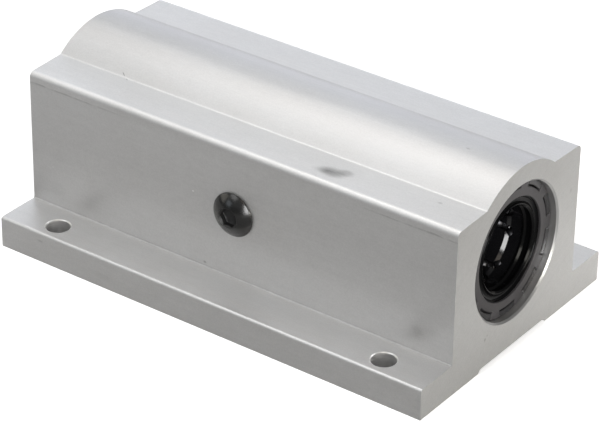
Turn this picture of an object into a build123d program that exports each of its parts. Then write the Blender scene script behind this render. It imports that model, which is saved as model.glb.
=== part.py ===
from build123d import *
import os
from math import cos, radians, sin, sqrt

# Twin pillow block with two closed linear ball bushings for a 3/4 inch round shaft.
# Millimetres. +X runs along the shaft bore, +Z is up, -Y is the side with the lube port,
# and the origin is the centre of the base.

INCH = 25.4

# Housing, an extruded aluminium profile machined at both ends
HOUSING_LENGTH = 4.5 * INCH
BASE_WIDTH = 2.75 * INCH
CROWN_HEIGHT = 1.75 * INCH
BORE_HEIGHT = 15 / 16 * INCH
DOME_RADIUS = CROWN_HEIGHT - BORE_HEIGHT
FLANGE_THICKNESS = 7.5
BODY_HALF_WIDTH = 23.6
SHOULDER_HEIGHT = 39.8
SHOULDER_FALL = 0.3
RELIEF_HALF_WIDTH = 13.2
RELIEF_SLOPE = 0.8
RELIEF_DEPTH = 0.85
SHOULDER_CORNER_RADIUS = 1.3
FLANGE_CORNER_RADIUS = 0.6
ROOT_RADIUS = 0.5

# Mounting holes for size 10 screws
HOLE_SPACING_X = 3.5 * INCH
HOLE_SPACING_Y = 2.375 * INCH
HOLE_RADIUS = 7 / 64 * INCH
HOLE_CHAMFER = 0.2

# Bushing envelope, 3/4 inch nominal
BUSHING_RADIUS = 0.625 * INCH
BUSHING_LENGTH = 1.625 * INCH
HALF_BUSHING = BUSHING_LENGTH / 2
END_RECESS = 1.8
BUSHING_CENTRE_X = HOUSING_LENGTH / 2 - END_RECESS - HALF_BUSHING
SEAT_RADIUS = BUSHING_RADIUS + 0.005
SEAT_SHOULDER_X = BUSHING_CENTRE_X - HALF_BUSHING - 0.025
GREASE_BORE_RADIUS = 12.5
MOUTH_CHAMFER = 0.4

# Balls, 3/32 inch, in ten endless circuits per bushing, two circuits to each load plate
BALL_RADIUS = 3 / 64 * INCH
BALLS_PER_ROW = 10
BALL_PITCH = 2.44
ROW_HALF_LENGTH = BALLS_PER_ROW * BALL_PITCH / 2
TUNNEL_RADIUS = BALL_RADIUS + 0.11
LOADED_ROW_RADIUS = 10.73
RETURN_ROW_RADIUS = 12.5
LOADED_ROW_ANGLE = 9
RETURN_ROW_ANGLE = 27

# Load plates, crowned along their length so that each can rock and line itself up
PLATE_COUNT = 5
PLATE_PITCH = 360 / PLATE_COUNT
FIRST_PLATE_ANGLE = -72
PLATE_INNER_RADIUS = 11.4
PLATE_CROWN_RADIUS = 13.77
PLATE_CROWN_CURVE = 200
PLATE_HALF_LENGTH = 12.6
PLATE_HALF_ANGLE = 16.2
GROOVE_RADIUS = BALL_RADIUS + 0.19

# Retainer, the moulded cage that carries the balls and the load plates
RETAINER_BORE_RADIUS = 9.75
RETAINER_RADIUS = 13.7
RETAINER_HALF_LENGTH = 17
LEAD_IN_RADIUS = 10.2
LEAD_IN_DEPTH = 2.7
LEAD_IN_CONE = 0.8
WINDOW_FLOOR_RADIUS = 11.1
WINDOW_HALF_LENGTH = 12.9
WINDOW_HALF_ANGLE = 16.8

# Hardened bearing ring round the middle, with a polymer sleeve on each side of it
SHELL_BORE_RADIUS = 13.85
RING_HALF_LENGTH = 5
SLEEVE_START = RING_HALF_LENGTH + 0.1
SLEEVE_RADIUS = 15.8
SLEEVE_TIP_RADIUS = 14.42
EDGE_CHAMFER = 0.3

# End rings, keyed into the sleeves by ten castellations
TAB_COUNT = 10
FIRST_TAB_ANGLE = -90
TAB_HALF_ANGLE = 11.3
NOTCH_HALF_ANGLE = 12
NOTCH_FLOOR_RADIUS = 14.0
TAB_END = HALF_BUSHING - 0.04
FACE_CHAMFER = 0.12
END_RING_RADIUS = 15.78
END_RING_BORE_RADIUS = 11.94
FLANGE_START = 19.02
SLEEVE_END = 19
HUB_START = 17.05

# Double-lip shaft seals inside the end rings
SEAL_RADIUS = 11.9
SEAL_LIP_RADIUS = 9.56
SEAL_FACE_INSET = 0.35
SEAL_LENGTH = 3.05
SEAL_RIM_RADIUS = 11.7
SEAL_RIM_DROP = 0.15
SEAL_CUP_RADIUS = 11.0
SEAL_CUP_DEPTH = 0.7
SEAL_CREST_RADIUS = 10.05
SEAL_CREST_HALF_WIDTH = 0.12
SEAL_CREST_DROP = 0.05
SEAL_WAIST_RADIUS = 10.0
SEAL_LAND_LENGTH = 0.3
SEAL_LAND_INSET = 0.4
SEAL_BEND = 0.4

# Lube port in the side wall, 1/4-28 thread, closed by a domed socket plug
PORT_HEIGHT = 23.5
PORT_RADIUS = 3.2
PLUG_HEAD_RADIUS = 5.2
PLUG_RIM_HEIGHT = 0.45
PLUG_HEAD_HEIGHT = 2.7
PLUG_EDGE_CHAMFER = 0.2
PLUG_THREAD_RADIUS = 3.1
PLUG_ROOT_RADIUS = 2.62
PLUG_THREAD_PITCH = INCH / 28
PLUG_THREAD_TURNS = 7
PLUG_CREST_START = 0.44
PLUG_CREST_END = 0.56
PLUG_NECK_LENGTH = 1.2
PLUG_TIP_LENGTH = 0.6
SOCKET_FLATS = 5 / 32 * INCH
SOCKET_DEPTH = 2.1
PLUG_SEAT_GAP = 0.02
SEAL_GROOVE_DEPTH = 0.72
SEAL_GROOVE_RADIUS = 4.3
PLUG_SEAL_RADIUS = 3.75
PLUG_SEAL_SECTION = 0.3
PLUG_SEAL_LIFT = 0.05


def save(piece, name):
    """Label a finished piece and write it to its own STEP file."""
    piece.part.label = name
    export_step(piece.part, f"parts/{name}.step")
    solids = piece.part.solids()
    print(f"{name}: {len(solids)} solid(s), {piece.part.volume:.1f} mm3")


def axial_section(base):
    """Plane that holds a bushing's axis: local X is the radius, local Y runs along the axis."""
    return Plane(base.origin, x_dir=base.x_dir, z_dir=-base.y_dir)


def turned(base, angle):
    """The same plane turned about its own normal, by an angle in degrees."""
    x_dir = base.x_dir * cos(radians(angle)) + base.y_dir * sin(radians(angle))
    return Plane(base.origin, x_dir=x_dir, z_dir=base.z_dir)


def turned_ring(base, outline):
    """Solid of revolution about a bushing's axis from a list of (radius, axial) points."""
    with BuildPart(base) as ring:
        with BuildSketch(axial_section(base)):
            with BuildLine():
                Polyline(outline, close=True)
            make_face()
        revolve(axis=Axis(base.origin, base.z_dir))
    return ring


def ring_sector(inner, outer, half_angle):
    """Flat sector of a ring, centred on local X."""
    with BuildSketch() as sector:
        with BuildLine():
            CenterArc((0, 0), inner, -half_angle, 2 * half_angle)
            CenterArc((0, 0), outer, -half_angle, 2 * half_angle)
            for angle in (-half_angle, half_angle):
                Line(polar_point(inner, angle), polar_point(outer, angle))
        make_face()
    return sector.sketch


def polar_point(radius, angle):
    """Cross-section point at a radius and an angle in degrees."""
    return (radius * cos(radians(angle)), radius * sin(radians(angle)))


def row_centres(side):
    """Cross-section centres of one circuit's loaded and return rows, about a plate at angle 0."""
    loaded = Vector(*polar_point(LOADED_ROW_RADIUS, side * LOADED_ROW_ANGLE))
    returning = Vector(*polar_point(RETURN_ROW_RADIUS, side * RETURN_ROW_ANGLE))
    return loaded, returning


def turn_radius():
    """Half the distance between the loaded and the return row of a circuit."""
    loaded, returning = row_centres(1)
    return (loaded - returning).length / 2


def plate_angles():
    """Cross-section angle of each load plate."""
    return [FIRST_PLATE_ANGLE + PLATE_PITCH * index for index in range(PLATE_COUNT)]


def circuit_tunnels():
    """The two racetrack tunnels beside a plate at angle 0, return sides open outwards."""
    opening = RETAINER_RADIUS - RETURN_ROW_RADIUS + TUNNEL_RADIUS
    with BuildPart() as tunnels:
        for side in (-1, 1):
            loaded, returning = row_centres(side)
            with BuildSketch(Plane.XY.offset(-ROW_HALF_LENGTH)):
                with Locations(loaded, returning):
                    Circle(TUNNEL_RADIUS)
                with Locations(Location(returning, (0, 0, side * RETURN_ROW_ANGLE))):
                    Rectangle(opening, 2 * TUNNEL_RADIUS, align=(Align.MIN, Align.CENTER))
            extrude(amount=2 * ROW_HALF_LENGTH)
            middle = (loaded + returning) / 2
            outward = (loaded - returning).normalized()
            for end in (-1, 1):
                turn_axis = Axis(
                    middle + Vector(0, 0, end * ROW_HALF_LENGTH),
                    outward.cross(Vector(0, 0, end)),
                )
                with BuildSketch(Plane.XY.offset(end * ROW_HALF_LENGTH)):
                    with Locations(loaded):
                        Circle(TUNNEL_RADIUS)
                revolve(axis=turn_axis, revolution_arc=180)
    return tunnels.part


def corners_at(section, half_width, height):
    """The pair of section corners at a height, one on each side of the centre."""
    return section.vertices().filter_by(
        lambda v: abs(abs(v.X) - half_width) < 0.05 and abs(v.Y - height) < 0.05
    )


def housing():
    """Flanged pillow block body with both bushing seats, the lube port and the bolt holes."""
    dome_foot = sqrt(DOME_RADIUS**2 - (SHOULDER_HEIGHT - BORE_HEIGHT) ** 2)
    half_base = BASE_WIDTH / 2
    half_length = HOUSING_LENGTH / 2
    with BuildPart() as body:
        with BuildSketch(Plane.YZ) as section:
            with BuildLine():
                Polyline(
                    (0, RELIEF_DEPTH),
                    (RELIEF_HALF_WIDTH - RELIEF_SLOPE, RELIEF_DEPTH),
                    (RELIEF_HALF_WIDTH, 0),
                    (half_base, 0),
                    (half_base, FLANGE_THICKNESS),
                    (BODY_HALF_WIDTH, FLANGE_THICKNESS),
                    (BODY_HALF_WIDTH, SHOULDER_HEIGHT - SHOULDER_FALL),
                    (dome_foot, SHOULDER_HEIGHT),
                )
                RadiusArc((dome_foot, SHOULDER_HEIGHT), (0, CROWN_HEIGHT), -DOME_RADIUS)
                Line((0, CROWN_HEIGHT), (0, RELIEF_DEPTH))
            make_face()
            mirror(about=Plane.YZ)
            fillet(corners_at(section, half_base, FLANGE_THICKNESS), radius=FLANGE_CORNER_RADIUS)
            fillet(corners_at(section, BODY_HALF_WIDTH, FLANGE_THICKNESS), radius=ROOT_RADIUS)
            fillet(corners_at(section, dome_foot, SHOULDER_HEIGHT), radius=ROOT_RADIUS)
            shoulders = corners_at(section, BODY_HALF_WIDTH, SHOULDER_HEIGHT - SHOULDER_FALL)
            fillet(shoulders, radius=SHOULDER_CORNER_RADIUS)
        extrude(amount=half_length, both=True)
        with Locations((0, 0, FLANGE_THICKNESS)):
            with GridLocations(HOLE_SPACING_X, HOLE_SPACING_Y, 2, 2):
                CounterSinkHole(HOLE_RADIUS, HOLE_RADIUS + HOLE_CHAMFER, counter_sink_angle=90)
        with Locations(Location((-half_length, 0, BORE_HEIGHT), (0, -90, 0))):
            Hole(GREASE_BORE_RADIUS)
        for side in (-1, 1):
            with BuildSketch(Plane.YZ.offset(side * half_length)):
                with Locations((0, BORE_HEIGHT)):
                    Circle(SEAT_RADIUS)
            extrude(amount=-side * (half_length - SEAT_SHOULDER_X), mode=Mode.SUBTRACT)
        seat_edges = body.edges().filter_by(GeomType.CIRCLE).filter_by(
            lambda e: abs(e.radius - SEAT_RADIUS) < 0.01
        )
        mouths = seat_edges.filter_by(lambda e: abs(abs(e.center().X) - half_length) < 0.01)
        chamfer(mouths, MOUTH_CHAMFER)
        with BuildSketch(Plane.XZ.offset(BODY_HALF_WIDTH)):
            with Locations((0, PORT_HEIGHT)):
                Circle(PORT_RADIUS)
        extrude(amount=-(BODY_HALF_WIDTH - GREASE_BORE_RADIUS / 2), mode=Mode.SUBTRACT)
    return body


def plug_outline():
    """Half section of the lube plug as (radius, height above the wall) points below the dome."""
    outline = [(0, -PLUG_NECK_LENGTH - PLUG_THREAD_TURNS * PLUG_THREAD_PITCH - PLUG_TIP_LENGTH)]
    outline.append((PLUG_ROOT_RADIUS - PLUG_TIP_LENGTH / 2, outline[0][1]))
    for turn in range(PLUG_THREAD_TURNS):
        root = outline[0][1] + PLUG_TIP_LENGTH + turn * PLUG_THREAD_PITCH
        outline.append((PLUG_ROOT_RADIUS, root))
        outline.append((PLUG_THREAD_RADIUS, root + PLUG_CREST_START * PLUG_THREAD_PITCH))
        outline.append((PLUG_THREAD_RADIUS, root + PLUG_CREST_END * PLUG_THREAD_PITCH))
    outline.append((PLUG_ROOT_RADIUS, -PLUG_NECK_LENGTH))
    outline.append((PLUG_ROOT_RADIUS, -PLUG_NECK_LENGTH / 2))
    outline.append((PLUG_THREAD_RADIUS, -PLUG_NECK_LENGTH / 2 + PLUG_THREAD_RADIUS - PLUG_ROOT_RADIUS))
    outline.append((PLUG_THREAD_RADIUS, SEAL_GROOVE_DEPTH))
    outline.append((SEAL_GROOVE_RADIUS, SEAL_GROOVE_DEPTH))
    outline.append((SEAL_GROOVE_RADIUS, PLUG_SEAT_GAP))
    outline.append((PLUG_HEAD_RADIUS - PLUG_EDGE_CHAMFER, PLUG_SEAT_GAP))
    outline.append((PLUG_HEAD_RADIUS, PLUG_SEAT_GAP + PLUG_EDGE_CHAMFER))
    outline.append((PLUG_HEAD_RADIUS, PLUG_RIM_HEIGHT))
    return outline


def port_plane():
    """Plane on the side wall at the lube port, facing outwards along -Y."""
    return Plane(origin=(0, -BODY_HALF_WIDTH, PORT_HEIGHT), x_dir=(1, 0, 0), z_dir=(0, -1, 0))


def lube_plug():
    """Domed plug with a hex socket, a seal groove under its head and a threaded shank."""
    wall = port_plane()
    outline = plug_outline()
    dome_rise = PLUG_HEAD_HEIGHT - PLUG_RIM_HEIGHT
    dome_radius = (PLUG_HEAD_RADIUS**2 + dome_rise**2) / (2 * dome_rise)
    with BuildPart(wall) as plug:
        with BuildSketch(axial_section(wall)):
            with BuildLine():
                Polyline(outline)
                RadiusArc(outline[-1], (0, PLUG_HEAD_HEIGHT), -dome_radius)
                Line((0, PLUG_HEAD_HEIGHT), outline[0])
            make_face()
        revolve(axis=Axis(wall.origin, wall.z_dir))
        with BuildSketch(wall.offset(PLUG_HEAD_HEIGHT - SOCKET_DEPTH)):
            RegularPolygon(SOCKET_FLATS / 2, 6, major_radius=False)
        extrude(amount=2 * SOCKET_DEPTH, mode=Mode.SUBTRACT)
    return plug


def lube_plug_seal():
    """Sealing ring that sits in the groove under the plug's head."""
    wall = port_plane()
    with BuildPart(wall) as seal:
        with BuildSketch(axial_section(wall)):
            with Locations((PLUG_SEAL_RADIUS, PLUG_SEAL_SECTION + PLUG_SEAL_LIFT)):
                Circle(PLUG_SEAL_SECTION)
        revolve(axis=Axis(wall.origin, wall.z_dir))
    return seal


def retainer(base, tunnels):
    """Moulded cage: a tube with five plate windows, ten ball tunnels and a lead-in at each end."""
    with BuildPart(base) as cage:
        with BuildSketch(base.offset(-RETAINER_HALF_LENGTH)):
            Circle(RETAINER_RADIUS)
            Circle(RETAINER_BORE_RADIUS, mode=Mode.SUBTRACT)
        extrude(amount=2 * RETAINER_HALF_LENGTH)
        with BuildSketch(base.offset(-WINDOW_HALF_LENGTH)):
            with PolarLocations(0, PLATE_COUNT, start_angle=FIRST_PLATE_ANGLE):
                add(ring_sector(WINDOW_FLOOR_RADIUS, SHELL_BORE_RADIUS, WINDOW_HALF_ANGLE))
        extrude(amount=2 * WINDOW_HALF_LENGTH, mode=Mode.SUBTRACT)
        with BuildSketch(axial_section(base)):
            for side in (-1, 1):
                cone_top = side * (RETAINER_HALF_LENGTH - LEAD_IN_DEPTH)
                cone_foot = cone_top - side * LEAD_IN_CONE
                with BuildLine():
                    Polyline(
                        (0, side * RETAINER_HALF_LENGTH),
                        (LEAD_IN_RADIUS, side * RETAINER_HALF_LENGTH),
                        (LEAD_IN_RADIUS, cone_top),
                        (RETAINER_BORE_RADIUS, cone_foot),
                        (0, cone_foot),
                        close=True,
                    )
                make_face()
        revolve(axis=Axis(base.origin, base.z_dir), mode=Mode.SUBTRACT)
        with PolarLocations(0, PLATE_COUNT, start_angle=FIRST_PLATE_ANGLE):
            add(tunnels, mode=Mode.SUBTRACT)
    return cage


def load_plate(base, angle):
    """Hardened plate with two ball grooves inside and a crowned back."""
    start = turned(base, angle - PLATE_HALF_ANGLE)
    end_radius = PLATE_CROWN_RADIUS - PLATE_HALF_LENGTH**2 / (2 * PLATE_CROWN_CURVE)
    with BuildPart(base) as plate:
        with BuildSketch(axial_section(start)):
            with BuildLine():
                Polyline(
                    (end_radius, -PLATE_HALF_LENGTH),
                    (PLATE_INNER_RADIUS, -PLATE_HALF_LENGTH),
                    (PLATE_INNER_RADIUS, PLATE_HALF_LENGTH),
                    (end_radius, PLATE_HALF_LENGTH),
                )
                ThreePointArc(
                    (end_radius, PLATE_HALF_LENGTH),
                    (PLATE_CROWN_RADIUS, 0),
                    (end_radius, -PLATE_HALF_LENGTH),
                )
            make_face()
        revolve(axis=Axis(base.origin, base.z_dir), revolution_arc=2 * PLATE_HALF_ANGLE)
        with BuildSketch(base.offset(-PLATE_HALF_LENGTH)):
            for side in (-1, 1):
                with Locations(polar_point(LOADED_ROW_RADIUS, angle + side * LOADED_ROW_ANGLE)):
                    Circle(GROOVE_RADIUS)
        extrude(amount=2 * PLATE_HALF_LENGTH, mode=Mode.SUBTRACT)
    return plate


def ball_group(base, centres):
    """One group of separate balls from their centres in the bushing's own frame."""
    with BuildPart(base) as balls:
        with Locations(*centres):
            Sphere(BALL_RADIUS)
    return balls


def row_balls(row):
    """Ball centres of every loaded row (0) or every return row (1) in a bushing."""
    centres = []
    for angle in plate_angles():
        for side in (-1, 1):
            centre = row_centres(side)[row].rotate(Axis.Z, angle)
            for index in range(BALLS_PER_ROW):
                along = (index - (BALLS_PER_ROW - 1) / 2) * BALL_PITCH
                centres.append(centre + Vector(0, 0, along))
    return centres


def turn_balls():
    """Ball centres at the top of each turn-around, one for each end of each circuit."""
    centres = []
    for angle in plate_angles():
        for side in (-1, 1):
            loaded, returning = row_centres(side)
            middle = ((loaded + returning) / 2).rotate(Axis.Z, angle)
            for end in (-1, 1):
                centres.append(middle + Vector(0, 0, end * (ROW_HALF_LENGTH + turn_radius())))
    return centres


def bearing_ring(base):
    """Hardened ring that the load plates rock against."""
    edge = RING_HALF_LENGTH - EDGE_CHAMFER
    return turned_ring(
        base,
        [
            (SHELL_BORE_RADIUS, -RING_HALF_LENGTH),
            (BUSHING_RADIUS - EDGE_CHAMFER, -RING_HALF_LENGTH),
            (BUSHING_RADIUS, -edge),
            (BUSHING_RADIUS, edge),
            (BUSHING_RADIUS - EDGE_CHAMFER, RING_HALF_LENGTH),
            (SHELL_BORE_RADIUS, RING_HALF_LENGTH),
        ],
    )


def outer_sleeve(base):
    """Polymer sleeve on one side of the bearing ring, with ten tabs that key the end ring."""
    with BuildPart(base) as sleeve:
        with BuildSketch(base.offset(SLEEVE_START)):
            Circle(SLEEVE_RADIUS)
            Circle(SHELL_BORE_RADIUS, mode=Mode.SUBTRACT)
        extrude(amount=SLEEVE_END - SLEEVE_START)
        with BuildSketch(base.offset(SLEEVE_END)):
            with PolarLocations(0, TAB_COUNT, start_angle=FIRST_TAB_ANGLE):
                add(ring_sector(SLEEVE_TIP_RADIUS, SLEEVE_RADIUS, TAB_HALF_ANGLE))
        extrude(amount=TAB_END - SLEEVE_END)
        tab_faces = sleeve.faces().group_by(Axis(base.origin, base.z_dir))[-1]
        chamfer(tab_faces.edges(), FACE_CHAMFER)
    return sleeve


def end_ring(base):
    """Ring that closes one end of the bushing and carries the seal, notched for the tabs."""
    with BuildPart(base) as ring:
        with BuildSketch(base.offset(FLANGE_START)):
            Circle(END_RING_RADIUS)
            with PolarLocations(0, TAB_COUNT, start_angle=FIRST_TAB_ANGLE):
                add(
                    ring_sector(NOTCH_FLOOR_RADIUS, BUSHING_RADIUS, NOTCH_HALF_ANGLE),
                    mode=Mode.SUBTRACT,
                )
        extrude(amount=HALF_BUSHING - FLANGE_START)
        with BuildSketch(base.offset(HUB_START)):
            Circle(RETAINER_RADIUS)
        extrude(amount=FLANGE_START - HUB_START)
        with BuildSketch(base.offset(HUB_START)):
            Circle(END_RING_BORE_RADIUS)
        extrude(amount=HALF_BUSHING - HUB_START, mode=Mode.SUBTRACT)
        face = ring.faces().group_by(Axis(base.origin, base.z_dir))[-1]
        chamfer(face.edges(), FACE_CHAMFER)
    return ring


def shaft_seal(base):
    """Rubber seal with two lips that land on the shaft and a cupped front."""
    face = HALF_BUSHING - SEAL_FACE_INSET
    back = face - SEAL_LENGTH
    outer_land = face - SEAL_LAND_INSET
    inner_land = back + SEAL_LAND_LENGTH
    rim = (SEAL_RIM_RADIUS, face - SEAL_RIM_DROP)
    cup = (SEAL_CUP_RADIUS, face - SEAL_CUP_DEPTH)
    crest_foot = (SEAL_CREST_RADIUS + SEAL_CREST_HALF_WIDTH, face - SEAL_CREST_DROP)
    with BuildPart(base) as seal:
        with BuildSketch(axial_section(base)):
            with BuildLine():
                Polyline(
                    rim,
                    (SEAL_RADIUS, rim[1]),
                    (SEAL_RADIUS, back),
                    (SEAL_LIP_RADIUS + SEAL_LAND_LENGTH, back),
                    (SEAL_LIP_RADIUS, inner_land),
                    (SEAL_LIP_RADIUS, inner_land + SEAL_LAND_LENGTH),
                    (SEAL_WAIST_RADIUS, inner_land + SEAL_LAND_LENGTH + SEAL_BEND),
                    (SEAL_WAIST_RADIUS, outer_land - SEAL_LAND_LENGTH - SEAL_BEND),
                    (SEAL_LIP_RADIUS, outer_land - SEAL_LAND_LENGTH),
                    (SEAL_LIP_RADIUS, outer_land),
                    (SEAL_CREST_RADIUS - SEAL_CREST_HALF_WIDTH, face - SEAL_CREST_DROP),
                    (SEAL_CREST_RADIUS, face),
                    crest_foot,
                )
                ThreePointArc(crest_foot, cup, rim)
            make_face()
        revolve(axis=Axis(base.origin, base.z_dir))
    return seal


def bushing(name, base, tunnels):
    """Every piece of one linear ball bushing, named after its place in the housing."""
    inward = Plane(base.origin, x_dir=base.x_dir, z_dir=-base.z_dir)
    save(retainer(base, tunnels), f"{name}_retainer")
    save(bearing_ring(base), f"{name}_bearing_ring")
    for end, end_base in (("outboard", base), ("inboard", inward)):
        save(outer_sleeve(end_base), f"{name}_outer_sleeve_{end}")
        save(end_ring(end_base), f"{name}_end_ring_{end}")
        save(shaft_seal(end_base), f"{name}_seal_{end}")
    for number, angle in enumerate(plate_angles(), start=1):
        save(load_plate(base, angle), f"{name}_load_plate_{number}")
    save(ball_group(base, row_balls(0)), f"{name}_loaded_balls")
    save(ball_group(base, row_balls(1)), f"{name}_return_balls")
    save(ball_group(base, turn_balls()), f"{name}_turn_balls")


os.makedirs("parts", exist_ok=True)
FRONT = Plane(origin=(BUSHING_CENTRE_X, 0, BORE_HEIGHT), x_dir=(0, 1, 0), z_dir=(1, 0, 0))
REAR = Plane(origin=(-BUSHING_CENTRE_X, 0, BORE_HEIGHT), x_dir=(0, -1, 0), z_dir=(-1, 0, 0))
save(housing(), "housing")
save(lube_plug(), "lube_plug")
save(lube_plug_seal(), "lube_plug_seal")
ball_tunnels = circuit_tunnels()
bushing("front", FRONT, ball_tunnels)
bushing("rear", REAR, ball_tunnels)
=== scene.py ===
import math

import bmesh
import bpy
from mathutils import Matrix, Vector


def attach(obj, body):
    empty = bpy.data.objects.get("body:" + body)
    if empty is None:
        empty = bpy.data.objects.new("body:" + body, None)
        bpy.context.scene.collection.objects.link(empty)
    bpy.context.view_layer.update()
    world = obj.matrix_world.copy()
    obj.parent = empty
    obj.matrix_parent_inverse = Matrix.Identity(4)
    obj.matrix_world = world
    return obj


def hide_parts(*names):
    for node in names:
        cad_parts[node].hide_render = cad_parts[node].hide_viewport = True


MM = 0.001

# The photograph's viewpoint
CAMERA_AZIMUTH = 35.939
CAMERA_ELEVATION = 30.413
CAMERA_ROLL = 0.892
CAMERA_DISTANCE = 0.6359
CAMERA_TARGET = (0.46 * MM, 0.0, 13.53 * MM)
LENS = 171.763
SENSOR = 36.0
AIM = (0, 0, 0.02)

# The part's own dimensions, in millimetres as in the CAD
BODY_HALF_WIDTH = 23.6
HALF_BASE = 34.925
FLANGE_TOP = 7.5
SHOULDER_TOP = 39.8
DOME_FOOT = 13.05
BORE_HEIGHT = 23.8125
SEAT_RADIUS = 15.88
HOLE_X, HOLE_Y, HOLE_RADIUS = 44.45, 30.1625, 2.778
PORT_HEIGHT = 23.5
PORT_RADIUS = 3.2
PORT_INNER_Y = -12.4


class Shade:
    """A node material with short calls for the nodes that it needs. Places are in millimetres."""

    def __init__(self, name, **sockets):
        self.material = bpy.data.materials.new(name)
        self.material.use_nodes = True
        self.tree = self.material.node_tree
        self.tree.nodes.clear()
        self.output = self.tree.nodes.new("ShaderNodeOutputMaterial")
        self.shader = self.tree.nodes.new("ShaderNodeBsdfPrincipled")
        self.tree.links.new(self.shader.outputs[0], self.output.inputs[0])
        for socket, value in sockets.items():
            self.set(socket.replace("_", " "), value)
        coordinates = self.tree.nodes.new("ShaderNodeTexCoord")
        self.place = self.scale(coordinates.outputs["Object"], 1 / MM)
        self.normal = coordinates.outputs["Normal"]

    def feed(self, socket, value):
        """Links an output, or sets a plain value."""
        if isinstance(value, bpy.types.NodeSocket):
            self.tree.links.new(value, socket)
        elif socket.type == "RGBA":
            socket.default_value = (*value, 1)
        else:
            socket.default_value = value

    def set(self, socket, value):
        self.feed(self.shader.inputs[socket], value)

    def math(self, operation, *values):
        node = self.tree.nodes.new("ShaderNodeMath")
        node.operation = operation
        for socket, value in zip(node.inputs, values):
            self.feed(socket, value)
        return node.outputs[0]

    def add(self, *values):
        total = values[0]
        for value in values[1:]:
            total = self.math("ADD", total, value)
        return total

    def times(self, *values):
        total = values[0]
        for value in values[1:]:
            total = self.math("MULTIPLY", total, value)
        return total

    def invert(self, value):
        return self.math("SUBTRACT", 1.0, value)

    def span(self, value, low, high):
        """low where value is 0, high where it is 1."""
        return self.math("MULTIPLY_ADD", value, high - low, low)

    def step(self, value, low, high):
        """Rises smoothly from 0 at low to 1 at high, or falls if low is above high."""
        node = self.tree.nodes.new("ShaderNodeMapRange")
        node.interpolation_type = "SMOOTHSTEP"
        rising = low < high
        ends = (low, high) if rising else (high, low)
        targets = (0.0, 1.0) if rising else (1.0, 0.0)
        for name, number in zip(("From Min", "From Max", "To Min", "To Max"), (*ends, *targets)):
            node.inputs[name].default_value = number
        self.feed(node.inputs["Value"], value)
        return node.outputs["Result"]

    def mix(self, factor, a, b):
        """a where factor is 0, b where it is 1, for values."""
        node = self.tree.nodes.new("ShaderNodeMix")
        node.data_type = "FLOAT"
        self.feed(node.inputs["Factor"], factor)
        self.feed(node.inputs[2], a)
        self.feed(node.inputs[3], b)
        return node.outputs[0]

    def mix_colour(self, factor, a, b):
        node = self.tree.nodes.new("ShaderNodeMix")
        node.data_type = "RGBA"
        self.feed(node.inputs["Factor"], factor)
        self.feed(node.inputs[6], a)
        self.feed(node.inputs[7], b)
        return node.outputs[2]

    def vector(self, operation, a, b=(0, 0, 0)):
        node = self.tree.nodes.new("ShaderNodeVectorMath")
        node.operation = operation
        self.feed(node.inputs[0], a)
        self.feed(node.inputs[1], b)
        plain = operation in ("LENGTH", "DOT_PRODUCT")
        return node.outputs["Value" if plain else "Vector"]

    def scale(self, vector, by):
        node = self.tree.nodes.new("ShaderNodeVectorMath")
        node.operation = "SCALE"
        self.feed(node.inputs[0], vector)
        self.feed(node.inputs["Scale"], by)
        return node.outputs["Vector"]

    def split(self, vector):
        node = self.tree.nodes.new("ShaderNodeSeparateXYZ")
        self.feed(node.inputs[0], vector)
        return node.outputs

    def join(self, x, y, z):
        node = self.tree.nodes.new("ShaderNodeCombineXYZ")
        for socket, value in zip(node.inputs, (x, y, z)):
            self.feed(socket, value)
        return node.outputs[0]

    def noise(self, size, detail=3.0, roughness=0.5, place=None, seed=0.0):
        """Noise from 0 to 1 about 0.5. size is the grain in millimetres, plain or along X, Y and Z."""
        sizes = (size, size, size) if isinstance(size, (int, float)) else size
        spread = self.vector("MULTIPLY", place or self.place, [1 / length for length in sizes])
        spread = self.vector("ADD", spread, (seed, 1.7 * seed, 2.3 * seed))
        node = self.tree.nodes.new("ShaderNodeTexNoise")
        node.inputs["Scale"].default_value = 1.0
        node.inputs["Detail"].default_value = detail
        node.inputs["Roughness"].default_value = roughness
        self.tree.links.new(spread, node.inputs["Vector"])
        return node.outputs["Fac"]

    def near(self, centre, reach, soft=0.5, along=(1, 1, 1)):
        """1 within reach of a point, fading out over a share of it; along stretches the reach."""
        offset = self.vector("SUBTRACT", self.place, centre)
        offset = self.vector("MULTIPLY", offset, [1 / stretch for stretch in along])
        return self.step(self.vector("LENGTH", offset), reach, reach * (1 - soft))

    def bump(self, height, depth):
        """Sets the normal from a height of 0 to 1 over a depth in millimetres."""
        node = self.tree.nodes.new("ShaderNodeBump")
        node.inputs["Distance"].default_value = depth * MM
        self.feed(node.inputs["Height"], height)
        self.tree.links.new(node.outputs["Normal"], self.shader.inputs["Normal"])


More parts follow.
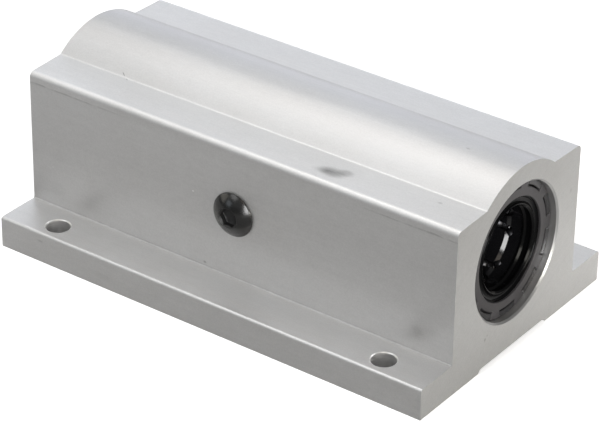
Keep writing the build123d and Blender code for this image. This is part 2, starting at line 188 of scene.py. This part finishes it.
# Handling marks on the housing: place, reach, stretch along X, Y and Z, and change of tone
MARKS = (
    ((22.3, -19.0, 39.7), 3.8, (1.15, 0.62, 1), -0.48),
    ((25.0, -17.6, 39.7), 2.1, (1.2, 0.85, 1), -0.26),
    ((19.6, -19.7, 39.6), 2.4, (1.3, 0.5, 1), -0.08),
    ((48.1, -23.6, 12.9), 2.2, (1.0, 1, 1.0), -0.07),
    ((-50.0, -23.6, 12.0), 2.6, (1.2, 1, 0.9), -0.05),
    ((-11.1, -23.6, 25.4), 0.35, (1, 1, 1), 0.35),
    ((-51.2, -23.6, 17.4), 0.25, (1, 1, 1), 0.22),
    ((-7.9, -23.6, 8.6), 0.4, (1.6, 1, 1), -0.3),
    ((57.15, -11.2, 7.6), 0.5, (1, 1, 1.3), -0.28),
    ((57.15, -10.4, 8.3), 0.3, (1, 1, 1), -0.25),
    ((57.15, 20.6, 29.5), 0.5, (1, 0.6, 1.6), -0.12),
    ((47.5, -15.9, 39.7), 0.5, (1.6, 1, 1), -0.2),
    ((43.9, -0.4, 44.4), 0.45, (1.8, 0.8, 1), -0.22),
    ((-45.7, -34.9, 5.4), 0.6, (2.0, 1, 0.7), -0.15),
    ((-28.4, -34.9, 3.0), 1.6, (2.4, 1, 0.6), -0.05),
)

# Scratches: two ends, half width and change of tone
SCRATCHES = (
    ((-39.9, -12.1, 40.5), (-38.6, -12.9, 39.95), 0.13, -0.5),
    ((-38.6, -12.9, 39.95), (-36.9, -13.8, 39.7), 0.11, -0.4),
    ((-18.0, -23.6, 31.0), (-14.5, -23.6, 30.2), 0.07, 0.10),
    ((12.0, -23.6, 16.0), (14.0, -23.6, 18.5), 0.06, 0.08),
    ((31.0, 23.6, 30.0), (36.0, 23.6, 27.5), 0.09, 0.12),
    ((-20.0, 23.6, 14.0), (-17.5, 23.6, 17.0), 0.08, -0.12),
    ((-57.15, 21.0, 13.0), (-57.15, 26.5, 5.5), 0.08, 0.12),
    ((5.0, 8.0, 42.8), (9.5, 9.0, 42.4), 0.08, -0.10),
)


# Changes of tone on the housing. The first six follow shading seen in the photograph.
CROWN_SHADE_TONE = -0.11
DOME_END_SHADE_TONE = -0.07
LOW_WALL_SHADE_TONE = -0.12
FLANGE_SHADE_TONE = -0.06
RIM_HIGHLIGHT_TONE = 0.11
END_FACE_LOW_SHADE, END_FACE_HIGH_SHADE = -0.04, -0.18
# Painted highlights along the dome's base, the shoulder's outer edge and the flanges' tips, and painted shade
# in the crease where the side wall meets the flanges
ROOT_HIGHLIGHT_TONE, CORNER_HIGHLIGHT_TONE, FOOT_SHADE_TONE, TIP_HIGHLIGHT_TONE = 0.08, 0.08, -0.22, 0.08
# Painted shade along a wandering dark line on the side wall under the shoulder's edge, and a painted
# highlight on the band above it, standing in for the shading of a broader rounding there
CORNER_SHADE_LINE_TONE, CORNER_BAND_HIGHLIGHT_TONE = -0.22, 0.05

# Heights between which the painted shade line along the side wall wanders, and the milling cutter's axis in Y
# and Z
SHADE_LINE_LOW, SHADE_LINE_HIGH = 36.9, 37.5
CUTTER_Y, CUTTER_Z = 55.0, -70.0


def scratch(s, start, end, half_width):
    """1 along a straight line between two points, tapering to nothing at its ends."""
    start, end = Vector(start), Vector(end)
    heading = tuple((end - start).normalized())
    offset = s.vector("SUBTRACT", s.place, tuple((start + end) / 2))
    along = s.vector("DOT_PRODUCT", offset, heading)
    across = s.vector("LENGTH", s.vector("SUBTRACT", offset, s.scale(heading, along)))
    share = s.math("DIVIDE", s.math("ABSOLUTE", along), (end - start).length / 2)
    width = s.math("MAXIMUM", s.times(s.step(share, 1.0, 0.3), half_width), 0.001)
    return s.step(s.math("DIVIDE", across, width), 1.0, 0.3)


def line_at(s, y, z, across, height, reach):
    """1 on a line that runs along X at a distance either side of the middle and at a height."""
    dy = s.math("SUBTRACT", across, y)
    dz = s.math("SUBTRACT", height, z)
    gap = s.vector("LENGTH", s.join(0.0, dy, dz))
    return s.step(gap, reach, 0.3 * reach)


def aluminium():
    """Clear-anodised extrusion with die lines along X, milled ends, bright bores and handling marks, with
    painted shade and painted highlights in places and the drilled holes partly lightened as painted light.
    """
    s = Shade("aluminium_body", Metallic=0.85)
    x, y, z = s.split(s.place)
    nx = s.split(s.normal)[0]
    side, end = s.math("ABSOLUTE", y), s.math("ABSOLUTE", x)
    end_face = s.step(s.math("ABSOLUTE", nx), 0.8, 0.95)
    from_axis = s.vector("LENGTH", s.join(0.0, y, s.math("SUBTRACT", z, BORE_HEIGHT)))
    bore = s.step(from_axis, SEAT_RADIUS + 0.45, SEAT_RADIUS + 0.4)
    hole_dx = s.math("SUBTRACT", end, HOLE_X)
    hole_dy = s.math("SUBTRACT", side, HOLE_Y)
    from_hole = s.vector("LENGTH", s.join(hole_dx, hole_dy, 0.0))
    hole = s.step(from_hole, HOLE_RADIUS + 0.3, HOLE_RADIUS + 0.25)
    from_port = s.vector("LENGTH", s.join(x, 0.0, s.math("SUBTRACT", z, PORT_HEIGHT)))
    port = s.step(from_port, PORT_RADIUS + 0.1, PORT_RADIUS + 0.05)
    port = s.times(port, s.step(y, PORT_INNER_Y, PORT_INNER_Y - 0.1))
    cut = s.math("MAXIMUM", s.math("MAXIMUM", bore, hole), port)

    die_lines = s.noise((140, 0.9, 0.9), 4, 0.6)
    fine_lines = s.noise((60, 0.22, 0.22), 2, 0.6, seed=3)
    bands = s.noise((190, 7, 7), 2, 0.5, seed=5)
    cloud = s.noise((26, 18, 18), 3, 0.55, seed=8)
    grain = s.noise(0.34, 2, 0.6)
    mottle = s.noise((3.2, 1.3, 1.3), 3, 0.65, seed=13)
    from_cutter = s.vector("LENGTH", s.join(0.0, s.add(y, -CUTTER_Y), s.add(z, -CUTTER_Z)))
    milled = s.noise((30, 0.5, 30), 3, 0.6, place=s.join(x, from_cutter, 0.0))
    turned = s.noise((0.16, 30, 30), 2, 0.5, seed=2)
    drilled = s.noise((9, 9, 0.2), 2, 0.5, seed=4)

    profile = s.add(s.times(die_lines, 0.4), s.times(fine_lines, 0.25), s.times(bands, 0.35))
    lines = s.mix(end_face, profile, milled)
    patchiness = s.noise((5, 1.5, 1.5), 3, 0.6, seed=11)
    # Painted highlights along the dome's base, the shoulder's outer edge and the flanges' tips, and painted
    # shade in the crease where the side wall meets the flanges
    root_highlight = line_at(s, side, z, DOME_FOOT + 0.05, SHOULDER_TOP + 0.03, 0.42)
    corner_highlight = line_at(s, side, z, BODY_HALF_WIDTH - 0.9, SHOULDER_TOP - 0.35, 0.8)
    foot_shade = line_at(s, side, z, BODY_HALF_WIDTH + 0.2, FLANGE_TOP + 0.2, 0.45)
    tip = line_at(s, side, z, HALF_BASE - 0.3, FLANGE_TOP - 0.2, 0.6)
    not_end = s.invert(end_face)
    # Painted highlight: the flanges' outer edge faces lighter
    rim_highlight = s.times(s.step(side, HALF_BASE - 0.3, HALF_BASE - 0.1), not_end)
    dome = s.times(s.step(side, DOME_FOOT + 1, DOME_FOOT - 1), s.step(z, 39, 40))
    # Painted shade: the dome darker towards its -X end
    dome_end_shade = s.times(dome, s.step(x, 15, -55), not_end)
    # Painted shade: the flanges darker
    flange_shade = s.times(s.step(side, BODY_HALF_WIDTH + 0.5, BODY_HALF_WIDTH + 2), not_end)
    # Painted shade: a darker band wandering along the dome's far side, standing in for a dark reflection
    wander = s.add(y, s.span(s.noise((45, 30, 30), 2, 0.5, seed=17), -2.5, 2.5))
    crown_shade = s.times(s.step(wander, -4, -1), s.step(wander, 7, 2), s.step(z, 41, 42), not_end)
    # Painted shade: the side walls darker towards the flanges
    low_wall_shade = s.times(s.step(side, BODY_HALF_WIDTH + 0.1, BODY_HALF_WIDTH), s.step(z, 17, 8), not_end)
    painted_edge_lines = s.add(
        s.times(root_highlight, ROOT_HIGHLIGHT_TONE),
        s.times(corner_highlight, CORNER_HIGHLIGHT_TONE),
        s.times(foot_shade, FOOT_SHADE_TONE),
        s.times(tip, TIP_HIGHLIGHT_TONE),
    )
    painted_edge_lines = s.times(painted_edge_lines, s.span(patchiness, 0.5, 1.5), not_end)

    # Painted shade along a wandering line under the shoulder's edge near both ends of the front side wall,
    # and a painted highlight on the band above it at the -X end
    from_shade_line = s.math("SUBTRACT", z, s.span(patchiness, SHADE_LINE_LOW, SHADE_LINE_HIGH))
    shade_line = s.step(s.math("ABSOLUTE", from_shade_line), 0.3, 0.05)
    shade_line_ends = s.times(s.step(end, 27, 42), s.step(y, -20, -23))
    corner_shade_line = s.times(shade_line, shade_line_ends, s.step(patchiness, 0.35, 0.6), not_end)
    above = s.times(s.step(z, SHADE_LINE_LOW + 0.1, SHADE_LINE_HIGH + 0.1), shade_line_ends, s.step(x, -20, -35), not_end)

    tone = s.add(
        s.span(lines, -0.08, 0.08),
        s.span(cloud, -0.05, 0.05),
        s.span(grain, -0.09, 0.09),
        s.span(mottle, -0.06, 0.06),
        # Painted shade: the end faces darker towards the top
        s.times(end_face, s.span(s.step(z, 12, 42), END_FACE_LOW_SHADE, END_FACE_HIGH_SHADE)),
        s.times(rim_highlight, RIM_HIGHLIGHT_TONE),
        s.times(dome_end_shade, DOME_END_SHADE_TONE),
        s.times(low_wall_shade, LOW_WALL_SHADE_TONE),
        s.times(crown_shade, CROWN_SHADE_TONE),
        s.times(flange_shade, FLANGE_SHADE_TONE),
        painted_edge_lines,
        s.times(corner_shade_line, CORNER_SHADE_LINE_TONE),
        s.times(above, CORNER_BAND_HIGHLIGHT_TONE),
        1.0,
    )
    for place, reach, stretch, change in MARKS:
        mark = s.times(s.near(place, reach, 0.8, stretch), s.span(patchiness, 0.3, 1.7))
        tone = s.add(tone, s.times(mark, change))
    for start, finish, half_width, change in SCRATCHES:
        tone = s.add(tone, s.times(scratch(s, start, finish, half_width), change))
    tint = s.mix_colour(cloud, (0.722, 0.716, 0.708), (0.716, 0.718, 0.722))
    # The drilled holes and the lube port are lighter than the anodised faces: partly bare drilled metal,
    # partly painted light standing in for light inside them
    machined_tone_and_hole_light = s.mix(bore, s.span(drilled, 0.95, 1.4), s.span(turned, 0.7, 1.0))
    s.set("Base Color", s.scale(tint, s.mix(cut, tone, machined_tone_and_hole_light)))
    rough = s.add(
        s.span(lines, 0.39, 0.55),
        s.span(grain, -0.03, 0.03),
        s.span(mottle, -0.05, 0.05),
        s.times(painted_edge_lines, -0.6),
        s.times(end_face, 0.26),
    )
    machined = s.mix(bore, s.span(drilled, 0.24, 0.42), s.span(turned, 0.26, 0.42))
    s.set("Roughness", s.mix(cut, rough, machined))
    grooves = s.mix(bore, s.times(drilled, 0.8), turned)
    plain_height = s.add(s.times(lines, 0.5), s.times(grain, 0.5))
    s.bump(s.mix(cut, plain_height, grooves), 0.018)
    return s.material


def moulded(name, colour, roughness, specular=0.5, depth=0.008, spread=0.12, grain_size=0.4):
    """Moulded polymer or rubber: fine grain, faint flow marks and a slight cloudiness."""
    s = Shade(name, Specular_IOR_Level=specular)
    grain = s.noise(grain_size, 3, 0.6)
    cloud = s.noise(9, 2, 0.5, seed=4)
    flow = s.noise((2.5, 12, 12), 2, 0.5, seed=9)
    mottles = [s.span(pattern, -spread, spread) for pattern in (grain, cloud, flow)]
    tone = s.add(*mottles, 1.0)
    s.set("Base Color", s.scale(colour, tone))
    s.set("Roughness", s.add(s.span(grain, -0.05, 0.05), s.span(cloud, roughness - 0.04, roughness + 0.04)))
    s.bump(grain, depth)
    return s.material


def ground_steel(name, colour, roughness, line_size, depth=0.002):
    """Hardened steel, ground along one direction, with a faint temper cloud."""
    s = Shade(name, Metallic=1.0)
    lines = s.noise(line_size, 3, 0.6)
    cloud = s.noise(6, 2, 0.5, seed=6)
    s.set("Base Color", s.scale(colour, s.add(s.span(lines, -0.06, 0.06), s.span(cloud, -0.05, 0.05), 1.0)))
    s.set("Roughness", s.span(lines, roughness - 0.05, roughness + 0.05))
    s.bump(lines, depth)
    return s.material


def black_oxide():
    """Blackened steel with a polished head that shows light wear, and a dull socket darkened as painted
    shade.
    """
    s = Shade("black_oxide_plug", Specular_IOR_Level=0.85)
    x, y, z = s.split(s.place)
    from_axis = s.vector("LENGTH", s.join(x, 0.0, s.math("SUBTRACT", z, PORT_HEIGHT)))
    socket = s.times(s.step(from_axis, 2.5, 2.35), s.step(y, -BODY_HALF_WIDTH - 0.1, -BODY_HALF_WIDTH - 0.3))
    grain = s.noise(0.25, 3, 0.6)
    cloud = s.noise(2.2, 2, 0.5, seed=7)
    turned = s.noise((1.6, 0.12, 1.6), 2, 0.5, seed=2)
    tone = s.add(s.span(grain, -0.25, 0.25), s.span(cloud, -0.3, 0.3), 1.0)
    # Painted shade: the socket's colour halved
    s.set("Base Color", s.scale((0.006, 0.006, 0.0057), s.times(tone, s.span(socket, 1.0, 0.5))))
    s.set("Roughness", s.add(s.span(grain, -0.08, 0.08), s.span(cloud, 0.17, 0.27), s.times(socket, 0.35)))
    s.bump(s.add(s.times(grain, 0.6), s.times(turned, 0.4)), 0.010)
    return s.material


# The lube plug and its thread, in millimetres as in the CAD; heights are measured outwards from the side wall
SEGMENTS = 48
PITCH = 25.4 / 28
THREAD_BOTTOM, THREAD_TOP = -7.55, -1.2
PLUG_TIP = -8.15
CREST_RADIUS, ROOT_RADIUS = 3.1, 2.62
CREST_HALF_WIDTH = 0.06
TIP_RADIUS, TIP_CHAMFER = 2.3, 0.8
RUN_OUT = 0.4
UNDER_HEAD = ((2.62, -1.2), (2.62, -0.6), (3.1, -0.12), (3.1, 0.72), (4.3, 0.72), (4.3, 0.02), (5.0, 0.02))
HEAD_EDGE = ((5.2, 0.22), (5.2, 0.33), (5.165, 0.45), (5.09, 0.56))
DOME_RADIUS, DOME_CENTRE = 7.134, -4.434
DOME_ROWS = (5.0, 4.75, 4.45, 4.1, 3.75, 3.4, 3.05, 2.75, 2.5, 2.42)
SOCKET_HALF_FLATS = 1.984
SOCKET_FLOOR = ((1.0, 0.78), (0.96, 0.68))
DRILL_POINT = ((1.55, 0.56), (0.0, 0.15))
FEMALE_CREST, FEMALE_BACK = 2.75, 3.26
FEMALE_HALF_WIDTH, FEMALE_BACK_HALF_WIDTH = 0.06, 0.42
FEMALE_START, FEMALE_END = -3.3, 7.5
FEMALE_TAPER = 0.4


def port_point(turn, radius, height):
    """Place about the lube port's axis, in metres. Turns run right-handed about the outward axis."""
    angle = 2 * math.pi * turn
    across, up = radius * math.cos(angle), radius * math.sin(angle)
    return Vector((across, -BODY_HALF_WIDTH - height, PORT_HEIGHT + up)) * MM


def finish_mesh(name, built, sharp_angle):
    """Turns a bmesh into a smooth object with its sharp edges marked."""
    bmesh.ops.recalc_face_normals(built, faces=built.faces)
    mesh = bpy.data.meshes.new(name)
    built.to_mesh(mesh)
    built.free()
    mesh.shade_smooth()
    mesh.set_sharp_from_angle(angle=math.radians(sharp_angle))
    piece = bpy.data.objects.new(name, mesh)
    bpy.context.scene.collection.objects.link(piece)
    return piece


def bridge(built, rows):
    """Quads between rows of vertices that are all closed loops of one length."""
    for lower, upper in zip(rows, rows[1:]):
        for i in range(len(lower)):
            j = (i + 1) % len(lower)
            built.faces.new((lower[i], lower[j], upper[j], upper[i]))


def thread_radius(height, turn):
    """Radius of the plug's right-hand thread, chamfered at the tip and run out at the neck."""
    phase = ((height - THREAD_BOTTOM) / PITCH - turn) % 1
    fall = max(0, abs(phase - 0.5) - CREST_HALF_WIDTH) / (0.5 - CREST_HALF_WIDTH)
    chamfer = TIP_RADIUS + (height - PLUG_TIP) / TIP_CHAMFER * (CREST_RADIUS - TIP_RADIUS)
    run_out = ROOT_RADIUS + (THREAD_TOP - height) / RUN_OUT * (CREST_RADIUS - ROOT_RADIUS)
    return min(CREST_RADIUS - fall * (CREST_RADIUS - ROOT_RADIUS), chamfer, run_out)


def plug_rows():
    """Functions of the turn that give (radius, height), from the plug's tip to its socket's floor."""
    count = round((THREAD_TOP - PLUG_TIP) / PITCH * SEGMENTS)
    rows = []
    for i in range(count):
        height = PLUG_TIP + i * PITCH / SEGMENTS
        rows.append(lambda turn, height=height: (thread_radius(height, turn), height))
    for radius, height in UNDER_HEAD + HEAD_EDGE:
        rows.append(lambda turn, place=(radius, height): place)
    for radius in DOME_ROWS:
        height = DOME_CENTRE + math.sqrt(DOME_RADIUS**2 - radius**2)
        rows.append(lambda turn, place=(radius, height): place)
    mouth_radius, mouth_height = rows[-1](0)

    def hexagon(turn):
        return SOCKET_HALF_FLATS / math.cos(((turn * 6) % 1 - 0.5) * math.pi / 3)

    rows.append(lambda turn: (hexagon(turn), mouth_height - mouth_radius + hexagon(turn)))
    for share, height in SOCKET_FLOOR:
        rows.append(lambda turn, share=share, height=height: (share * hexagon(turn), height))
    rows.append(lambda turn: DRILL_POINT[0])
    return rows


def lube_plug():
    """Domed head with a hex socket, a seal groove under it and a shank with a real helical thread."""
    built = bmesh.new()
    rows = []
    for row in plug_rows():
        rows.append([built.verts.new(port_point(i / SEGMENTS, *row(i / SEGMENTS))) for i in range(SEGMENTS)])
    bridge(built, rows)
    for row, height in ((rows[0], PLUG_TIP), (rows[-1], DRILL_POINT[1][1])):
        tip = built.verts.new(port_point(0, 0, height))
        for i in range(SEGMENTS):
            built.faces.new((row[i], row[(i + 1) % SEGMENTS], tip))
    return finish_mesh("lube_plug_detailed", built, 34)


def port_thread():
    """Female thread ridge inside the lube port, tapered into the wall at both ends."""
    built = bmesh.new()
    rows = []
    count = round((FEMALE_END - FEMALE_START) * SEGMENTS)
    for i in range(count + 1):
        turn = FEMALE_START + i / SEGMENTS
        full = min(1, 0.04 + min(turn - FEMALE_START, FEMALE_END - turn) / FEMALE_TAPER)
        crest = FEMALE_BACK - (FEMALE_BACK - FEMALE_CREST) * full
        widths = (-FEMALE_BACK_HALF_WIDTH, -FEMALE_HALF_WIDTH, FEMALE_HALF_WIDTH, FEMALE_BACK_HALF_WIDTH)
        radii = (FEMALE_BACK, crest, crest, FEMALE_BACK)
        middle = THREAD_BOTTOM + turn * PITCH
        rows.append([
            built.verts.new(port_point(turn, radius, middle + width * full * PITCH))
            for radius, width in zip(radii, widths)
        ])
    bridge(built, rows)
    built.faces.new(rows[0])
    built.faces.new(rows[-1])
    return finish_mesh("port_thread", built, 34)


def finish_for(node):
    """The material slot that a CAD node takes its finish from."""
    endings = {
        "housing": "aluminium_body",
        "lube_plug": "black_oxide_plug",
        "lube_plug_seal": "nitrile_ring",
        "retainer": "cage_polymer",
        "bearing_ring": "bearing_steel",
        "balls": "ball_steel",
    }
    for ending, slot in endings.items():
        if node.endswith(ending):
            return slot
    if "load_plate" in node:
        return "bearing_steel"
    if "outer_sleeve" in node:
        return "sleeve_polymer"
    if "end_ring" in node:
        return "end_ring_polymer"
    return "seal_rubber"


def toward(azimuth, elevation):
    """Unit vector from the object; azimuth 0 is the -Y side and 90 the +X side, in degrees."""
    a, e = math.radians(azimuth), math.radians(elevation)
    return Vector((math.sin(a) * math.cos(e), -math.cos(a) * math.cos(e), math.sin(e)))


def softbox(name, azimuth, elevation, distance, size, power, colour=(1, 1, 1)):
    """Rectangular area light that faces the object and that no camera sees."""
    data = bpy.data.lights.new(name, "AREA")
    data.shape = "RECTANGLE"
    data.size, data.size_y = size
    data.energy = power
    data.color = colour
    light = bpy.data.objects.new(name, data)
    bpy.context.scene.collection.objects.link(light)
    light.location = toward(azimuth, elevation) * distance
    light.rotation_euler = (Vector(AIM) - light.location).to_track_quat("-Z", "Y").to_euler()
    light.visible_camera = False


# Azimuth and elevation in degrees, distance and size in metres, power in watts
SOFTBOXES = {
    "back_left_softbox": (216, 35, 1.3, (0.8, 0.6), 1.3, (0.86, 0.93, 1.0)),
    "back_low_softbox": (216, 12, 1.3, (0.9, 0.3), 1.6, (0.87, 0.89, 1.0)),
    "left_high_softbox": (268, 66, 1.2, (0.7, 0.7), 2.35, (0.98, 0.99, 1.0)),
    "front_softbox": (0, 35, 1.2, (0.7, 0.7), 0.25),
    "key_softbox": (41, 20, 0.95, (0.34, 0.54), 4.6),
    "front_left_softbox": (328, 52, 1.2, (0.6, 0.6), 1.75),
    "camera_high_softbox": (42, 58, 1.2, (0.6, 0.6), 0.8, (1.0, 0.86, 0.72)),
    "front_low_softbox": (327, 21, 1.2, (0.4, 0.3), 0.45, (0.85, 0.93, 1.0)),
    "right_low_softbox": (80, 12, 1.2, (0.6, 0.3), 4.7, (1.0, 0.97, 0.88)),
    "left_low_softbox": (285, 22, 1.3, (1.0, 0.6), 1.7, (1.0, 0.96, 0.86)),
    "back_high_softbox": (216, 62, 1.3, (0.7, 0.6), 2.2, (1.0, 0.94, 0.89)),
}
WORLD_STRENGTH = 0.12

# How much the floor reflects, by place, and its tone where the camera sees it
PAPER_FRONT_RIGHT, PAPER_FRONT_LEFT, PAPER_BEHIND, PAPER_SEEN = 0.29, 0.42, 1.0, 0.97


def floor():
    """Pale paper floor, seen as white, that reflects more light behind and to the left of the object."""
    mesh = bpy.data.meshes.new("floor")
    built = bmesh.new()
    bmesh.ops.create_grid(built, x_segments=1, y_segments=1, size=6)
    built.to_mesh(mesh)
    built.free()
    ground = bpy.data.objects.new("floor", mesh)
    bpy.context.scene.collection.objects.link(ground)
    paper = Shade("floor_paper", Roughness=0.9, Emission_Color=(1, 1, 1))
    path = paper.tree.nodes.new("ShaderNodeLightPath")
    seen = path.outputs["Is Camera Ray"]
    x, y, _ = paper.split(paper.place)
    front = paper.span(paper.step(x, 40, -100), PAPER_FRONT_RIGHT, PAPER_FRONT_LEFT)
    shade = paper.mix(seen, paper.mix(paper.step(y, -20, 50), front, PAPER_BEHIND), PAPER_SEEN)
    speckle = paper.noise(25, 2)
    paper.set("Base Color", paper.scale((1, 1, 1), paper.times(shade, paper.span(speckle, 0.99, 1.01))))
    far = paper.step(paper.vector("LENGTH", paper.place), 500, 2500)
    paper.set("Emission Strength", paper.times(seen, paper.span(far, 0.5, 1.0)))
    mesh.materials.append(paper.material)


def camera():
    """The photograph's camera, from its angles, roll and distance."""
    back = toward(CAMERA_AZIMUTH, CAMERA_ELEVATION)
    data = bpy.data.cameras.new("camera")
    data.lens, data.sensor_width = LENS, SENSOR
    data.clip_start, data.clip_end = 0.01, 50
    holder = bpy.data.objects.new("camera", data)
    bpy.context.scene.collection.objects.link(holder)
    holder.rotation_mode = "QUATERNION"
    holder.location = Vector(CAMERA_TARGET) + back * CAMERA_DISTANCE
    right = Vector((math.cos(math.radians(CAMERA_AZIMUTH)), math.sin(math.radians(CAMERA_AZIMUTH)), 0))
    up = back.cross(right)
    roll = math.radians(CAMERA_ROLL)
    right, up = right * math.cos(roll) + up * math.sin(roll), up * math.cos(roll) - right * math.sin(roll)
    holder.rotation_quaternion = Matrix((right, up, back)).transposed().to_quaternion()
    bpy.context.scene.camera = holder


def studio():
    """Soft lights, floor and camera, with a dim world that the camera sees as white."""
    scene = bpy.context.scene
    scene.view_settings.view_transform = "Standard"
    world = bpy.data.worlds.new("studio")
    scene.world = world
    world.use_nodes = True
    background = world.node_tree.nodes["Background"]
    background.inputs["Color"].default_value = (1, 1, 1, 1)
    path = world.node_tree.nodes.new("ShaderNodeLightPath")
    strength = world.node_tree.nodes.new("ShaderNodeMapRange")
    strength.inputs["To Min"].default_value = WORLD_STRENGTH
    world.node_tree.links.new(path.outputs["Is Camera Ray"], strength.inputs["Value"])
    world.node_tree.links.new(strength.outputs["Result"], background.inputs["Strength"])
    floor()
    for name, settings in SOFTBOXES.items():
        softbox(name, *settings)
    camera()


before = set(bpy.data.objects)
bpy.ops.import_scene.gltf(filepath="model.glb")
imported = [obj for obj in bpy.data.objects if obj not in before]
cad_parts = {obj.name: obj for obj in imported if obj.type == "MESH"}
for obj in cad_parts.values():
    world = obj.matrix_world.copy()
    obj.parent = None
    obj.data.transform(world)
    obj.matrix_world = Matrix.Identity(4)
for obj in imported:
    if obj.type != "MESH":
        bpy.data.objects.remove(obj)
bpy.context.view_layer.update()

MATERIALS = {
    "aluminium_body": aluminium(),
    "black_oxide_plug": black_oxide(),
    "nitrile_ring": moulded("nitrile_ring", (0.02, 0.02, 0.02), 0.45),
    "cage_polymer": moulded("cage_polymer", (0.008, 0.008, 0.009), 0.15, specular=0.85, depth=0.003),
    "bearing_steel": ground_steel("bearing_steel", (0.55, 0.55, 0.56), 0.25, (0.15, 4, 4)),
    "sleeve_polymer": moulded("sleeve_polymer", (0.036, 0.035, 0.037), 0.20, specular=0.65, depth=0.005),
    "end_ring_polymer": moulded(
        "end_ring_polymer", (0.060, 0.057, 0.060), 0.42, specular=0.45, depth=0.022, spread=0.22
    ),
    "seal_rubber": moulded("seal_rubber", (0.0035, 0.0035, 0.0038), 0.14, specular=0.12, depth=0.002),
    # Painted shade: the balls' steel is far darker than real bearing steel, standing in for the shade deep
    # inside the bearing
    "ball_steel": ground_steel("ball_steel", (0.15, 0.15, 0.16), 0.40, (0.6, 0.6, 0.6), depth=0.0005),
}
for name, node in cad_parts.items():
    for slot in node.material_slots:
        slot.material = MATERIALS[finish_for(name)]

plug = lube_plug()
plug.data.materials.append(MATERIALS["black_oxide_plug"])
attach(plug, "plug")
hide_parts("lube_plug")

thread = port_thread()
thread.data.materials.append(MATERIALS["aluminium_body"])
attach(thread, "housing")

studio()
